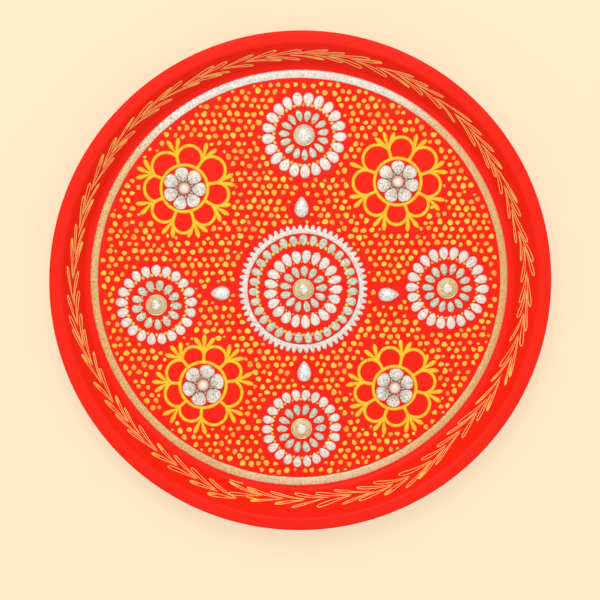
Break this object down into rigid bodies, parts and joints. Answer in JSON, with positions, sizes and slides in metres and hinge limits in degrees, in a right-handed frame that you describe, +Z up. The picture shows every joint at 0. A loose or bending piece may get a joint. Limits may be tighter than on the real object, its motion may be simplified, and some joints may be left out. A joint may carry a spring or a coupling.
{
  "type": "puja thali",
  "caption": "Round shallow steel tray for puja offerings, red enamel with a flat rolled rim, a glitter band and glued pearl, stone and paint decoration in rosettes and flowers",
  "frame": {"origin": "middle of the resting face under the base", "axes": "+Z up out of the dish, +Y toward the top of the picture, +X to its right"},
  "size_m": [0.3, 0.3, 0.025],
  "materials": {
    "red_enamel": "smooth red enamel, satin gloss",
    "glitter_band": "pale gold glitter",
    "white_drop": "pearl-white glitter",
    "grey_drop": "silver-grey glitter",
    "cream_pearl": "pearl sheen",
    "peach_pearl": "pearl sheen",
    "spacer_pearl": "silver pearl sheen",
    "cup_metal": "bright gilt",
    "crystal": "clear foiled stone",
    "yellow_paint": "raised yellow outline paint",
    "dot_paint": "raised yellow-orange paint",
    "gold_paint": "raised gold paint"
  },
  "bodies": {
    "root": {"border_band": "glitter_band", "drop_pearl_east": "spacer_pearl", "drop_pearl_north": "spacer_pearl", "drop_pearl_south": "spacer_pearl", "drop_pearl_west": "spacer_pearl", "field_dots": "dot_paint", "flower_northeast_outline": "yellow_paint", "flower_northeast_pearl": "peach_pearl", "flower_northeast_petal_stones": "crystal", "flower_northeast_setting": "peach_pearl", "flower_northwest_outline": "yellow_paint", "flower_northwest_pearl": "peach_pearl", "flower_northwest_petal_stones": "crystal", "flower_northwest_setting": "peach_pearl", "flower_southeast_outline": "yellow_paint", "flower_southeast_pearl": "peach_pearl", "flower_southeast_petal_stones": "crystal", "flower_southeast_setting": "peach_pearl", "flower_southwest_outline": "yellow_paint", "flower_southwest_pearl": "peach_pearl", "flower_southwest_petal_stones": "crystal", "flower_southwest_setting": "peach_pearl", "medallion_inner_drops": "grey_drop", "medallion_lace_ring": "glitter_band", "medallion_middle_drops": "white_drop", "medallion_outer_drops": "grey_drop", "medallion_pearl": "cream_pearl", "medallion_pearl_cup": "cup_metal", "rosette_east_inner_drops": "grey_drop", "rosette_east_outer_drops": "white_drop", "rosette_east_pearl": "cream_pearl", "rosette_east_pearl_cup": "cup_metal", "rosette_north_inner_drops": "grey_drop", "rosette_north_outer_drops": "white_drop", "rosette_north_pearl": "cream_pearl", "rosette_north_pearl_cup": "cup_metal", "rosette_south_inner_drops": "grey_drop", "rosette_south_outer_drops": "white_drop", "rosette_south_pearl": "cream_pearl", "rosette_south_pearl_cup": "cup_metal", "rosette_west_inner_drops": "grey_drop", "rosette_west_outer_drops": "white_drop", "rosette_west_pearl": "cream_pearl", "rosette_west_pearl_cup": "cup_metal", "thali_plate": "red_enamel", "wall_garland": "gold_paint"}
  },
  "joints": []
}
